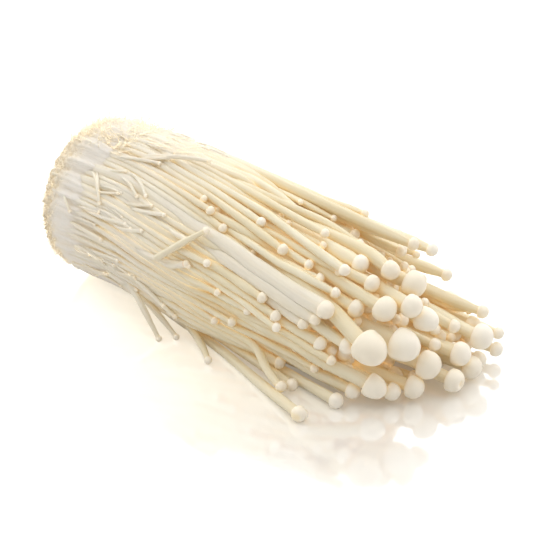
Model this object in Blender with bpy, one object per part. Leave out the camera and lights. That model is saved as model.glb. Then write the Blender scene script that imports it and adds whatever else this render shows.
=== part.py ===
"""An enoki mushroom bunch lying on its side: one grown-together foot and the mushrooms that rise from it.

Metres, +Z up, resting on the plane z = 0. The layout below is worked out in millimetres, with x running
from the cut end of the foot to the caps and y = 0 on the middle of the foot. Every object is then placed
about an origin on the resting plane, under the middle of the whole bunch.
"""
import math
from dataclasses import dataclass

import bmesh
import bpy
import numpy as np
from mathutils import Vector

MM = 0.001

# ---- driving dimensions, millimetres
FOOT_LENGTH = 26.0  # cut end to the face that the stems leave
FOOT_BULGE = 1.5  # how far the cut end swells past x = 0
FRONT_X = 125.0  # where the main heads stand
BUNCH_HALF_WIDTH = 24.3
FOOT_HALF_HEIGHT = 23.6
FRONT_HALF_HEIGHT = 17.6  # the long stems sag towards the table
ORIGIN_X = 64.2
ORIGIN_Y = -6.0

STEM_RADIUS_ROOT = 0.8
STEM_RADIUS_FRONT = 1.2
LOOSE_STEM_RADIUS = 1.05
ROOT_GAP = 0.3  # between the foot and each root
NEIGHBOUR_GAP = 0.42  # between one mushroom and the next
TABLE_GAP = 0.05  # under the stems that lie on the table
ROOT_SPREAD = 0.86  # share of the section that the roots fill
SAG_TURN = 0.42  # degrees round the bunch that its near side sags for every millimetre along it
SAGGING_ANGLES = (0.0, 85.0, 125.0, 215.0, 255.0, 360.0)
SAGGING_SHARES = (0.0, 0.0, 1.0, 1.0, 0.0, 0.0)
STEM_UNDER_CAP = 0.9  # widest a stem may be, as a share of its cap's radius
BROKEN_END_DEPTH = 0.25  # how far the broken end of the loose stem is rounded, in stem radii

# ---- facets
FOOT_SIDES = 36
STEM_RINGS = 9
SMALL_CAP_SIDES = 6
LARGE_CAP_SIDES = 8
LARGE_CAP_WIDTH = 4.5

# ---- layout grid along the bunch
STATION_STEP = 1.25
STATIONS = np.arange(FOOT_LENGTH, 135.0, STATION_STEP)
SEED = 7
TINY = 1e-9  # keeps a division away from zero

# ---- how the stems settle against each other
SETTLE_ROUNDS = 420
SMOOTH_ROUNDS = 330  # the rounds in which the stems are also kept from kinking
PUSH = 0.6  # share of an overlap cleared in one round
NEIGHBOUR_SHARE = 0.25  # how much of a stem's shift each station takes from the two beside it
PLACED_TIP_GIVE = 0.02  # a head that stands at a chosen point hardly gives way
PLACED_STEM_GIVE = 0.45
RIBBON_TIP_GIVE = 0.06
TIP_LENGTH = 16.0  # over which a stem's give falls to that of its head

# foot outline: distance from the cut end, share of the full radius, depth of the flutes between stems
FOOT_PROFILE = (
    (0.0, 0.80, 0.0),
    (1.5, 0.92, 0.005),
    (5.0, 0.99, 0.006),
    (12.0, 1.0, 0.010),
    (20.0, 0.985, 0.018),
    (FOOT_LENGTH, 0.94, 0.028),
)
FOOT_FLUTES = 12
FOOT_LUMP_DEPTH = 0.012  # share of the radius, three lumps round the foot
FOOT_LUMP_LENGTH = 9.0  # mm along the foot for the lumps to turn by one radian
FOOT_LUMP_TURN = 0.4
FOOT_FLAT_HEIGHT = 1.2  # what hangs lower than this is pressed flat on the table

# cap outline: place along the cap's axis and radius, both as shares of the cap's radius
CAP_PROFILE = ((-0.45, 0.74), (-0.12, 1.0), (0.38, 0.86), (0.70, 0.50))
CAP_NECK = -0.58
CAP_CROWN = 0.86
SHARP_EDGE = 50.0  # degrees; flatter edges are shaded round

# ---- mushrooms whose heads make the front of the bunch: x, y, z of the cap and its width
FRONT_CAPS = (
    (117.5, -12.4, 17.6, 8.5),
    (112.8, -21.1, 18.1, 8.8),
    (105.9, -20.4, 17.3, 4.8),
    (112.0, -12.8, 26.2, 6.7),
    (117.0, -8.1, 26.4, 6.1),
    (104.5, -14.3, 25.0, 4.8),
    (106.0, -9.6, 30.3, 4.7),
    (108.0, -5.1, 32.8, 4.9),
    (100.0, -6.0, 33.0, 4.9),
    (113.5, -1.5, 29.1, 7.2),
    (118.5, -4.1, 22.0, 6.3),
    (121.3, -5.7, 9.0, 7.6),
    (119.2, 1.1, 11.8, 3.6),
    (113.0, -18.6, 6.5, 6.4),
    (107.3, -19.6, 3.6, 4.6),
    (116.0, -14.0, 4.0, 4.8),
    (119.7, -10.8, 4.2, 6.2),
    (126.6, -0.5, 4.1, 6.3),
    (125.2, 4.7, 9.1, 6.3),
    (126.8, 8.0, 4.4, 6.2),
    (126.4, 13.4, 11.0, 7.0),
    (123.5, 18.4, 15.4, 3.7),
    (126.9, 21.8, 8.4, 3.4),
    (126.9, 21.4, 3.5, 4.1),
)
# two of them bend down late from further up the side: number, angle of the root, ease
LATE_BENDS = {2: (142.0, 3.0), 14: (182.0, 2.4)}

# ---- short mushrooms on the outside: reach, angle round the bunch (0 far side, 90 top), cap width
SHORT_MUSHROOMS = (
    (62.0, 134.0, 2.6),
    (71.0, 117.0, 2.8),
    (81.0, 130.0, 3.1),
    (99.5, 125.0, 3.2),
    (88.0, 104.0, 2.6),
    (76.0, 183.5, 2.6),
    (85.5, 174.5, 3.2),
    (90.0, 206.0, 3.4),
    (91.0, 222.0, 3.5),
    (98.5, 190.5, 3.8),
)

# ---- a flat ribbon of stems that grew side by side, same columns
RIBBON_MUSHROOMS = ((93.5, 175.5, 3.2), (97.0, 172.0, 3.2), (99.5, 161.5, 4.9))

# ---- long mushrooms along the top and the far side, same columns
TOP_MUSHROOMS = ((87.5, 52.5, 3.2), (107.0, 67.0, 3.4), (111.0, 62.0, 3.6), (109.5, 6.5, 3.4))

# ---- mushrooms that leave the bunch and lie on the table: x, y, z of the cap, cap width, root angle, ease
SPLAYED_MUSHROOMS = (
    (101.6, -35.4, 2.3, 4.3, 248.0, 1.0),
    (91.8, -25.2, 2.4, 3.4, 246.0, 1.0),
    (105.4, -24.4, 2.1, 4.1, 248.0, 1.0),
    (65.1, -27.4, 1.3, 2.2, 240.0, 1.9),
    (46.0, -24.5, 1.2, 1.9, 203.0, 1.7),
    (49.5, -21.5, 1.2, 1.9, 214.0, 1.7),
)

# ---- the ring of mushrooms round the far side and underneath
FAR_SIDE_ANGLES = np.linspace(-106.0, -10.0, 11)
FAR_SIDE_REACH = (96.0, 121.0)
FAR_SIDE_CAP_WIDTH = (3.4, 5.6)

# ---- a broken stem lying across the near side: x, angle round the bunch at each end
LOOSE_STEM_ENDS = ((46.5, 171.0), (60.0, 140.0))
LOOSE_STEM_HEIGHT = 1.095  # share of the section it rides at

FLESH_COLOUR = (0.86, 0.76, 0.58, 1.0)
FOOT_COLOUR = (0.80, 0.72, 0.58, 1.0)
FLESH_ROUGHNESS = 0.42
FOOT_ROUGHNESS = 0.75


@dataclass
class Mushroom:
    """One stem with its cap; root and tip are (angle round the bunch, share of its section)."""

    name: str
    root: tuple
    tip: tuple
    start: float  # x of the root
    reach: float  # x of the cap's middle
    cap_radius: float
    ease: float = 1.0  # above 1 the stem stays under its root for longer
    give: float = 0.5  # how far it gives way to its neighbours
    tip_give: float = 0.5  # the same for its head


def half_height(x):
    """Half the height of the bunch at x."""
    share = np.clip((x - FOOT_LENGTH) / (FRONT_X - FOOT_LENGTH), 0.0, 1.0)
    return FOOT_HALF_HEIGHT + (FRONT_HALF_HEIGHT - FOOT_HALF_HEIGHT) * share


def to_section(x, y, z):
    """(angle, share) of a point given in millimetres."""
    height = float(half_height(x))
    across, up = y / BUNCH_HALF_WIDTH, (z - height) / height
    return math.degrees(math.atan2(up, across)) % 360.0, math.hypot(across, up)


def root_angle(angle, reach):
    """The near side sags on its way to the front, so a root there sits higher up than its cap."""
    sagging = float(np.interp(angle % 360.0, SAGGING_ANGLES, SAGGING_SHARES))
    return angle - SAG_TURN * sagging * (reach - FOOT_LENGTH)


def rim_share(reach, cap_radius):
    """Share of the section that keeps a cap's outside on the bunch's outline."""
    mean_radius = (BUNCH_HALF_WIDTH + float(half_height(reach))) / 2
    return 1.0 - (cap_radius + STEM_RADIUS_FRONT) / 2 / mean_radius


def placed_cap(name, x, y, z, width, angle=None, ease=1.0):
    """A mushroom whose cap stands at a chosen point, with its root at an angle of its own or under it."""
    tip = to_section(x, y, z)
    root = (root_angle(tip[0], x) if angle is None else angle, min(tip[1], 1.0) * ROOT_SPREAD)
    gives = {"give": PLACED_STEM_GIVE, "tip_give": PLACED_TIP_GIVE}
    return Mushroom(name, root, tip, FOOT_LENGTH + ROOT_GAP, x, width / 2, ease, **gives)


def rim_mushroom(name, reach, angle, width, give=0.5, tip_give=0.5):
    """A mushroom on the outside of the bunch."""
    tip = (angle, rim_share(reach, width / 2))
    root = (root_angle(angle, reach), ROOT_SPREAD)
    gives = {"give": give, "tip_give": tip_give}
    return Mushroom(name, root, tip, FOOT_LENGTH + ROOT_GAP, reach, width / 2, **gives)


def lay_out():
    """Every mushroom of the bunch, before the stems settle against each other."""
    rng = np.random.default_rng(SEED)
    bunch = []
    for i, cap in enumerate(FRONT_CAPS, 1):
        bunch.append(placed_cap(f"front_mushroom_{i:02d}", *cap, *LATE_BENDS.get(i, ())))
    bunch += [rim_mushroom(f"short_mushroom_{i:02d}", *row) for i, row in enumerate(SHORT_MUSHROOMS, 1)]
    for i, row in enumerate(RIBBON_MUSHROOMS, 1):
        bunch.append(rim_mushroom(f"ribbon_mushroom_{i}", *row, tip_give=RIBBON_TIP_GIVE))
    bunch += [rim_mushroom(f"top_mushroom_{i}", *row) for i, row in enumerate(TOP_MUSHROOMS, 1)]
    for i, row in enumerate(SPLAYED_MUSHROOMS, 1):
        bunch.append(placed_cap(f"splayed_mushroom_{i}", *row))
    for i, angle in enumerate(FAR_SIDE_ANGLES, 1):
        reach = rng.uniform(*FAR_SIDE_REACH)
        width = rng.uniform(*FAR_SIDE_CAP_WIDTH)
        bunch.append(rim_mushroom(f"far_mushroom_{i:02d}", reach, angle, width, 1.0, 1.0))
    (start, low), (end, high) = LOOSE_STEM_ENDS
    ends = ((low, LOOSE_STEM_HEIGHT), (high, LOOSE_STEM_HEIGHT))
    bunch.append(Mushroom("loose_stem", *ends, start, end, LOOSE_STEM_RADIUS, give=0.0, tip_give=0.0))
    return bunch


def stem_radius(mushroom, x):
    """Stems thicken from the foot to the caps."""
    if mushroom.name == "loose_stem":
        return np.full_like(np.asarray(x, dtype=float), LOOSE_STEM_RADIUS)
    share = (np.asarray(x, dtype=float) - FOOT_LENGTH) / (FRONT_X - FOOT_LENGTH)
    radius = STEM_RADIUS_ROOT + (STEM_RADIUS_FRONT - STEM_RADIUS_ROOT) * share
    return np.minimum(radius, STEM_UNDER_CAP * mushroom.cap_radius)


def first_path(mushroom):
    """(y, z) of the stem's middle at every station, before settling."""
    along = np.clip((STATIONS - mushroom.start) / (mushroom.reach - mushroom.start), 0.0, 1.0)
    eased = along**mushroom.ease
    angle, share = (a + (b - a) * eased for a, b in zip(mushroom.root, mushroom.tip))
    turn = np.radians(angle)
    height = half_height(STATIONS)
    return np.stack([BUNCH_HALF_WIDTH * share * np.cos(turn), height * (1.0 + share * np.sin(turn))], axis=1)


def room(mushroom):
    """Radius that a mushroom needs at every station, and NaN where it isn't."""
    needed = stem_radius(mushroom, STATIONS)
    if mushroom.name != "loose_stem":
        from_middle = np.clip(np.abs(STATIONS - mushroom.reach) - STATION_STEP / 2, 0.0, None)
        round_cap = np.sqrt(np.clip(mushroom.cap_radius**2 - from_middle**2, 0.0, None))
        needed = np.where(from_middle < mushroom.cap_radius, np.maximum(needed, round_cap), needed)
    ahead = STATIONS > mushroom.reach + mushroom.cap_radius + STATION_STEP
    behind = STATIONS < mushroom.start - STATION_STEP
    return np.where(ahead | behind, np.nan, needed)


def give_along(mushroom):
    """How far a mushroom gives way at every station."""
    from_tip = np.clip((mushroom.reach - STATIONS) / TIP_LENGTH, 0.0, 1.0)
    return mushroom.tip_give + (mushroom.give - mushroom.tip_give) * from_tip


def settle(bunch):
    """Ease the stems apart until no two touch and none is below the table."""
    paths = np.array([first_path(m) for m in bunch])
    radii = np.array([room(m) for m in bunch])
    gives = np.array([give_along(m) for m in bunch])
    share = gives[:, None] / (gives[:, None] + gives[None, :] + TINY)
    reach = radii[:, None] + radii[None, :] + NEIGHBOUR_GAP
    reach[np.arange(len(bunch)), np.arange(len(bunch))] = np.nan
    first = paths.copy()
    held = (gives / np.maximum(gives.max(axis=1, keepdims=True), TINY))[..., None]
    for round_number in range(SETTLE_ROUNDS):
        apart = paths[:, None] - paths[None, :]
        distance = np.linalg.norm(apart, axis=-1) + TINY
        overlap = np.nan_to_num(reach - distance)
        push = np.clip(overlap, 0.0, None) * share / distance
        moved = paths + (apart * push[..., None]).sum(axis=1) * PUSH - first
        if round_number < SMOOTH_ROUNDS:
            ahead = np.concatenate([moved[:, 1:], moved[:, -1:]], axis=1)
            behind = np.concatenate([moved[:, :1] * 0.0, moved[:, :-1]], axis=1)
            even = (1.0 - 2.0 * NEIGHBOUR_SHARE) * moved + NEIGHBOUR_SHARE * (ahead + behind)
            moved += (even - moved) * held
        paths = first + moved
        lowest = np.nan_to_num(radii, nan=STEM_RADIUS_ROOT) + TABLE_GAP
        paths[..., 1] = np.maximum(paths[..., 1], lowest)
    return paths


def path_points(mushroom, path, xs):
    """Points of the settled stem at the given x, in millimetres."""
    spread = np.stack([np.interp(xs, STATIONS, path[:, i]) for i in range(2)], axis=1)
    return [Vector((x, y, z)) for x, (y, z) in zip(xs, spread)]


def mushroom_rings(mushroom, path):
    """Rings (middle, direction, radius) from root to crown, then the crown's point."""
    stem_end = mushroom.reach + CAP_NECK * mushroom.cap_radius
    xs = np.linspace(mushroom.start, stem_end, STEM_RINGS)
    points = path_points(mushroom, path, xs)
    directions = []
    for i, _ in enumerate(points):
        before, after = points[max(i - 1, 0)], points[min(i + 1, len(points) - 1)]
        directions.append((after - before).normalized())
    radii = [float(r) for r in stem_radius(mushroom, xs)]
    rings = list(zip(points, directions, radii))
    axis = directions[-1]
    middle = points[-1] - axis * CAP_NECK * mushroom.cap_radius
    for along, share in CAP_PROFILE:
        ring = middle + axis * along * mushroom.cap_radius
        rings.append((ring, axis, share * mushroom.cap_radius))
    return rings, middle + axis * CAP_CROWN * mushroom.cap_radius


def foot_rings():
    """Rings of the foot as lists of points: lumpy, fluted, and pressed flat underneath."""
    turns = np.arange(FOOT_SIDES) * 2 * math.pi / FOOT_SIDES - math.pi / 2
    rings = []
    for x, share, flute_depth in FOOT_PROFILE:
        lumps = FOOT_LUMP_DEPTH * np.sin(3 * turns + FOOT_LUMP_TURN + x / FOOT_LUMP_LENGTH)
        flutes = flute_depth * np.cos(FOOT_FLUTES * turns)
        radius = share * (1.0 + lumps + flutes)
        y = BUNCH_HALF_WIDTH * radius * np.cos(turns)
        z = FOOT_HALF_HEIGHT * (1.0 + radius * np.sin(turns))
        z = np.where(z < FOOT_FLAT_HEIGHT, 0.0, z)
        rings.append([Vector((x, *point)) for point in zip(y, z)])
    return rings


def ring_points(middle, direction, radius, sides):
    """A regular polygon square to a direction, with its first corner always facing up."""
    across = direction.cross(Vector((0.0, 0.0, 1.0))).normalized()
    upward = across.cross(direction).normalized()
    turns = [2 * math.pi * i / sides for i in range(sides)]
    return [middle + (upward * math.cos(t) + across * math.sin(t)) * radius for t in turns]


def lofted_object(name, rings, origin, material, root_point=None, end_point=None):
    """One closed body through rings of points, each end closed by a fan or a flat face."""
    bm = bmesh.new()
    first = [bm.verts.new((p - origin) * MM) for p in rings[0]]
    loop = [bm.edges.new(pair) for pair in zip(first, first[1:] + first[:1])]
    ends = [list(loop)]
    corners = first
    for ring in rings[1:]:
        made = bmesh.ops.extrude_edge_only(bm, edges=loop)["geom"]
        new_verts = [v for v in made if isinstance(v, bmesh.types.BMVert)]
        following = []
        for corner, point in zip(corners, ring):
            vert = next(e.other_vert(corner) for e in corner.link_edges if e.other_vert(corner) in new_verts)
            vert.co = (point - origin) * MM
            following.append(vert)
        corners = following
        loop = [bm.edges.get(pair) for pair in zip(corners, corners[1:] + corners[:1])]
    ends.append(loop)
    for edges, point in zip(ends, (root_point, end_point)):
        cover = bmesh.ops.contextual_create(bm, geom=edges)["faces"]
        if point is not None:
            bmesh.ops.poke(bm, faces=cover)["verts"][0].co = (point - origin) * MM
    bmesh.ops.recalc_face_normals(bm, faces=bm.faces)
    mesh = bpy.data.meshes.new(name)
    bm.to_mesh(mesh)
    bm.free()
    mesh.shade_smooth()
    mesh.set_sharp_from_angle(angle=math.radians(SHARP_EDGE))
    mesh.materials.append(material)
    body = bpy.data.objects.new(name, mesh)
    body.location = (origin - Vector((ORIGIN_X, ORIGIN_Y, 0.0))) * MM
    bpy.context.scene.collection.objects.link(body)
    return body


def make_mushroom(mushroom, path, material):
    """A stem and its cap as one closed body, with its origin at the root."""
    rings, crown = mushroom_rings(mushroom, path)
    sides = LARGE_CAP_SIDES if 2 * mushroom.cap_radius > LARGE_CAP_WIDTH else SMALL_CAP_SIDES
    loops = [ring_points(*ring, sides) for ring in rings]
    middle, direction, radius = rings[0]
    root_point = middle
    if mushroom.name == "loose_stem":
        root_point = middle - direction * BROKEN_END_DEPTH * radius
    return lofted_object(mushroom.name, loops, middle, material, root_point, crown)


def make_foot(material):
    """The grown-together foot, with its origin at the middle of its cut end."""
    origin = Vector((0.0, 0.0, FOOT_HALF_HEIGHT))
    bulge = origin - Vector((FOOT_BULGE, 0.0, 0.0))
    return lofted_object("base_clump", foot_rings(), origin, material, root_point=bulge)


def flesh(name, colour, roughness):
    """A plain Principled material."""
    material = bpy.data.materials.new(name)
    material.use_nodes = True
    shader = material.node_tree.nodes["Principled BSDF"]
    shader.inputs["Base Color"].default_value = colour
    shader.inputs["Roughness"].default_value = roughness
    shader.inputs["Metallic"].default_value = 0.0
    return material


def build():
    for old in list(bpy.data.objects):
        bpy.data.objects.remove(old, do_unlink=True)
    mushroom_flesh = flesh("mushroom_flesh", FLESH_COLOUR, FLESH_ROUGHNESS)
    foot_flesh = flesh("foot_flesh", FOOT_COLOUR, FOOT_ROUGHNESS)
    make_foot(foot_flesh)
    bunch = lay_out()
    for mushroom, path in zip(bunch, settle(bunch)):
        make_mushroom(mushroom, path, mushroom_flesh)


build()
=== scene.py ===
"""The looks of an enoki mushroom bunch that lies on a white table.

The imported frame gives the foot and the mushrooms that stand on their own. Each of them gets a fine skin
here, and the crowd of mushrooms between them is laid out and settled round them. Lengths are in
millimetres in the bunch's own frame: x runs from the cut end of the foot to the caps, y = 0 is the
middle of the foot and z = 0 the table.
"""
import math
from dataclasses import dataclass

import bmesh
import bpy
import numpy as np
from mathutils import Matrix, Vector


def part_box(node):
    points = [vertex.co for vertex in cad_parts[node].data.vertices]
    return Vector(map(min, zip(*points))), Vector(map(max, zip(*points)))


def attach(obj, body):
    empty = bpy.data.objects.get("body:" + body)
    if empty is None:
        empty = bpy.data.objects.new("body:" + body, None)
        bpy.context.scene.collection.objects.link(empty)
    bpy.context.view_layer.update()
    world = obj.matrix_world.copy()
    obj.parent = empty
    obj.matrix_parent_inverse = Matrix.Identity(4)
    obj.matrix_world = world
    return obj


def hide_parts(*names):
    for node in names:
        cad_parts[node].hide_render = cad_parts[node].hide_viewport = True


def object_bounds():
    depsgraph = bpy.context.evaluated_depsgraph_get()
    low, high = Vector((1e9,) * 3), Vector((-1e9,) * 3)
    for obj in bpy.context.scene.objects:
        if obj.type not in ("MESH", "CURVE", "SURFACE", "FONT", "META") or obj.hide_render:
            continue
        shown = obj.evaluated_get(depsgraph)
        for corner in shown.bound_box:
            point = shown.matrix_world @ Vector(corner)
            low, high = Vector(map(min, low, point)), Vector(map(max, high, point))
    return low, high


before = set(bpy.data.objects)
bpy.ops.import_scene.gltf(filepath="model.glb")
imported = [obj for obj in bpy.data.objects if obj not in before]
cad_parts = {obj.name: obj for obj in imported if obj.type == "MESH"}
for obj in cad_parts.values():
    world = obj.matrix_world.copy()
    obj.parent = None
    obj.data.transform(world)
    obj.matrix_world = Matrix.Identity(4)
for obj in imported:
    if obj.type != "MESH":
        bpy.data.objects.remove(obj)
cad_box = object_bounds()

MM = 0.001
foot_low, foot_high = (np.array(corner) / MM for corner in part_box("base_clump"))

# ---- the bunch's own frame: where it lies comes from the foot, and its section is that of the CAD
CUT_BULGE = 1.5  # how far the cut end swells past x = 0
ORIGIN = np.array([foot_low[0] + CUT_BULGE, (foot_low[1] + foot_high[1]) / 2, 0.0])
FOOT_LENGTH = foot_high[0] - ORIGIN[0]
HALF_WIDTH = 24.3
FOOT_HALF_HEIGHT = 23.6
FRONT_HALF_HEIGHT = 17.6
MEAN_HALF = 22.0  # half the bunch's section, when the direction doesn't matter
FRONT_X = 125.0
SAG_TURN = 0.42  # degrees round the bunch that its near side sags for every millimetre along it
SAGGING_ANGLES = (0.0, 80.0, 132.0, 208.0, 260.0, 360.0)
SAGGING_SHARES = (0.0, 0.0, 1.0, 1.0, 0.0, 0.0)
TABLE_ANGLES = (222.0, 318.0)  # where the bunch spreads beside the line that it lies on
TABLE_SPREAD = 0.17
SEED = 11

# ---- how the crowd settles
STATION_STEP = 4.0
STATIONS = np.arange(2.0, 136.0, STATION_STEP)
NOT_THERE = -99.0  # room taken where a mushroom doesn't reach
SETTLE_ROUNDS = 110
EVEN_ROUNDS = 94  # the rounds in which the stems are also kept from kinking
PAIR_ROUNDS = 12  # how often it is looked up which stems are neighbours
PAIR_REACH = 6.0
PUSH = 0.6  # share of an overlap cleared in one round
FOOT_ROOM = 0.62  # share of its room that a stem needs where it is grown together with others
PARTED = (12.0, 46.0)  # x from which stems begin to need their full room, and where they do
OUTLINE_SLACK = 0.02  # share of the section that a stem may stand proud of the outline
LEAST_GIVE = 0.3  # two stems that are held at their places don't push each other away
FREE_GIVE = 0.2  # what gives way more than this is also kept inside the bunch
TIP_LENGTH = 20.0  # over which a stem's give falls to that of its cap

# ---- stems and caps
STEM_ROOT_RADIUS = 0.86
STEM_FRONT_RADIUS = 0.62  # before the part that grows with the cap
STEM_PER_CAP = 0.36
NECK = 0.58  # from the neck up to the cap's middle, in cap radii
CAP_WIDEST = -0.12  # from the cap's middle to where it is widest
ROOT_LIFT = 0.093  # how much further out a stem leaves the foot than its CAD root
RESTING_HEIGHT = 0.02  # soft flesh is pressed flat where it lies on the table
CAD_RINGS = (20, 1.5)  # sides of a stem and millimetres between its rings, for the ones in the frame
FINE_RINGS = (12, 2.2)
INNER_RINGS = (10, 3.5)
SPROUT_RINGS = (12, 1.0)

# ---- layers of the crowd: shares of the bunch's section, from the outside in
LAYERS = (0.945, 0.87, 0.79, 0.70, 0.60, 0.49, 0.37, 0.24, 0.08)
FINE_LAYERS = (0, 1)  # the layers that show most, with more rings and sides
LONG_LAYERS = 3  # this many layers are seen all the way down to the foot
STUNTED = -1  # a layer of short ones, tucked in last
STUNTED_LAYERS = (0.86, 0.81)
STUNTED_REACH = (46.0, 84.0)
STUNTED_CAPS = (1.7, 2.4)
LAYER_STEP = 0.7  # degrees between tries on the outline
PIECE_SIZE = 48  # mushrooms in one piece
FIT_FROM = 44.0  # x from which a new stem has to fit between the others
STEM_SLACK = 1.35  # how far stems may press into each other before they settle
CAP_SLACK = 2.6
OUTER_STARTS = (2.0, 5.0)  # x at which the outer stems come out of the flesh
LATE_START = 13.0  # how much further on that is on the lower near side
INNER_STARTS = (46.0, 56.0)
TOP_ANGLES = (-40.0, -25.0, 100.0, 130.0)
TOP_THICKNESS = (1.0, 1.35, 1.35, 1.0)  # the stems on top are thicker than the others
SLIM_ANGLES = (-15.0, 215.0)  # on top and on the near side
SLIM_CAPS = (2.3, 3.1)  # widths of the caps that end there, under the front ones
TOP_CAPS = (2.2, 2.8)  # the same for the far top side, whose stems run on to the last heads
FULL_CAPS = (3.2, 5.2)
INNER_CAPS = (2.6, 4.2)
CROWNS = (0.78, 1.0)  # how high the caps of the crowd rise, in cap radii

# ---- inner mushrooms, and those on the far top side, end where a front head hides their caps
TUCKED_ANGLES = (-35.0, 85.0)
TUCKED_SHARE = 0.65  # layers further in than this are tucked all round
TUCKED_REACHES = np.arange(92.0, 125.0, 1.0)
TUCKED_DEPTH = 22.0  # how far behind the head
TUCKED_COVER = 0.6  # share of a cap's radius that stays inside the head's outline
SHORT_INNER_ENDS = (16.0, 34.0)  # behind the front, where no head hides the cap
INNER_ENDS = (7.0, 24.0)
INNER_DIVE = 0.3  # share of the outer ones' dive that inner ones have
USUAL_REACH = 110.0  # x at which a tip is taken to be until its reach is known

# how far behind the front the outer mushrooms end, and how far they dive below their layer:
# angle round the bunch, least, most, dive
OUTER_ENDS = (
    (-110.0, 2.0, 16.0, 0.02),
    (-40.0, 1.0, 12.0, 0.02),
    (-12.0, 3.0, 14.0, 0.08),
    (6.0, 14.0, 28.0, 0.35),
    (30.0, 20.0, 36.0, 0.50),
    (60.0, 20.0, 36.0, 0.55),
    (85.0, 16.0, 28.0, 0.55),
    (115.0, 12.0, 22.0, 0.50),
    (150.0, 12.0, 22.0, 0.36),
    (180.0, 8.0, 22.0, 0.18),
    (225.0, 8.0, 18.0, 0.06),
    (250.0, 2.0, 16.0, 0.02),
)

# small mushrooms that lie on the near side: reach, angle, cap width
NEAR_SIDE_MUSHROOMS = (
    (54.0, 123.0, 2.2),
    (56.5, 127.5, 2.5),
    (62.5, 161.0, 2.2),
    (64.5, 205.0, 2.4),
    (71.0, 199.0, 2.6),
    (82.0, 168.0, 3.0),
    (88.0, 180.0, 2.6),
    (80.0, 228.0, 2.6),
    (103.0, 196.0, 2.8),
    (86.0, 219.0, 3.4),
    (67.5, 178.0, 2.0),
)

# long thin ones that end on the top far side, same columns
TOP_SIDE_MUSHROOMS = (
    (89.5, 60.0, 2.6),
    (96.0, 33.0, 2.3),
    (98.5, 22.0, 2.5),
    (99.0, 11.0, 2.4),
    (90.0, 24.0, 2.3),
)

# heads that show between the ones that stand on their own: x, y, z of the cap and its width
HEADS_BETWEEN = (
    (122.0, 5.8, 15.2, 3.6),
    (118.0, 4.3, 14.8, 3.2),
    (117.5, 6.5, 10.5, 3.6),
    (120.0, 18.6, 13.2, 2.3),
    (118.8, 9.3, 10.6, 2.6),
    (106.5, -15.0, 21.5, 2.8),
    (101.0, -19.5, 14.0, 2.8),
    (91.0, -25.6, 5.1, 3.2),
)

# sprouts that leave the foot: from (x, angle) to (x, angle), bend in degrees, lift of the tip, and width
# of the end
SPROUTS = (
    (12.0, 133.0, 22.5, 152.0, -6.0, 0.7, 1.3),
    (15.0, 132.0, 21.0, 147.0, -4.0, 0.5, 1.1),
    (22.0, 133.0, 33.6, 139.0, -4.0, 0.6, 1.3),
    (24.0, 128.0, 36.2, 136.0, -5.0, 0.7, 1.3),
    (6.0, 156.0, 12.5, 164.0, -4.0, 0.8, 1.2),
    (14.0, 118.0, 33.9, 112.0, 2.0, 0.9, 1.4),
    (24.0, 112.0, 36.0, 105.0, 3.0, 1.2, 1.4),
    (22.0, 110.0, 46.5, 97.0, 2.0, 2.6, 1.7),
    (30.0, 172.0, 56.0, 168.0, 3.0, 0.8, 2.0),
    (26.0, 146.0, 39.0, 141.0, 2.0, 0.5, 1.4),
    (28.0, 147.0, 44.0, 143.0, 2.0, 0.6, 1.5),
    (24.0, 162.0, 38.5, 159.0, 3.0, 0.5, 1.4),
    (44.0, 148.0, 53.5, 151.5, 1.0, 1.1, 1.9),
    (41.5, 165.0, 55.5, 167.0, 7.0, 1.3, 2.3),
    (36.0, 206.0, 50.0, 212.0, -3.0, 0.9, 1.8),
    (30.0, 200.0, 46.0, 208.0, -4.0, 0.8, 1.7),
)
RANDOM_SPROUTS = 34
RANDOM_SPROUT_LENGTHS = (7.0, 20.0)
RANDOM_SPROUT_WIDTHS = (0.9, 1.5)


# ======================================================================== shape of the bunch

def front_of(y, z):
    """x of the bunch's front: its far side and its foot side reach further than its top."""
    return 121.0 + 0.35 * y - 0.35 * np.maximum(z - 8.0, 0.0)


def half_height(x):
    """Half the height of the bunch at x: it sags towards the caps."""
    share = np.clip((x - FOOT_LENGTH) / (FRONT_X - FOOT_LENGTH), 0.0, 1.0)
    return FOOT_HALF_HEIGHT + (FRONT_HALF_HEIGHT - FOOT_HALF_HEIGHT) * share


def sag(x, angle):
    """How much further out the bunch spreads where it lies on the table."""
    beside = sum(np.exp(-((np.mod(angle, 360.0) - middle) / 19.0) ** 2) for middle in TABLE_ANGLES)
    return 1.0 + TABLE_SPREAD * beside * smooth(x, 14.0, 60.0)


def root_angle(angle, reach):
    """The near side sags on its way to the front, so a root there sits higher up than its cap."""
    sagging = np.interp(np.mod(angle, 360.0), SAGGING_ANGLES, SAGGING_SHARES)
    return angle - SAG_TURN * sagging * (reach - FOOT_LENGTH)


def low_side(angle):
    """1 on the lower near side, where the stems stay grown together for longest."""
    return np.exp(-((angle % 360.0 - 215.0) / 38.0) ** 2)


def on_bunch(x, angle, share):
    """Points at an angle in degrees round the bunch (0 far side, 90 top) and a share of its section."""
    turn = np.radians(angle)
    share = share * sag(x, angle)
    height = half_height(x)
    y = HALF_WIDTH * share * np.cos(turn)
    z = height * (1.0 + share * np.sin(turn))
    return np.stack(np.broadcast_arrays(x, y, z), axis=-1).astype(float)


def section_of(points):
    """(u, v) of points in shares of the bunch's section: length 1 is on its outline."""
    height = half_height(points[..., 0])
    return np.stack([points[..., 1] / HALF_WIDTH, (points[..., 2] - height) / height], axis=-1)


def smooth(x, low, high):
    """0 below low, 1 above high, and an even turn between."""
    t = np.clip((x - low) / (high - low), 0.0, 1.0)
    return t * t * (3.0 - 2.0 * t)


def unit(v):
    """Vectors brought to length 1."""
    return v / np.maximum(np.linalg.norm(v, axis=-1, keepdims=True), 1e-9)


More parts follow.
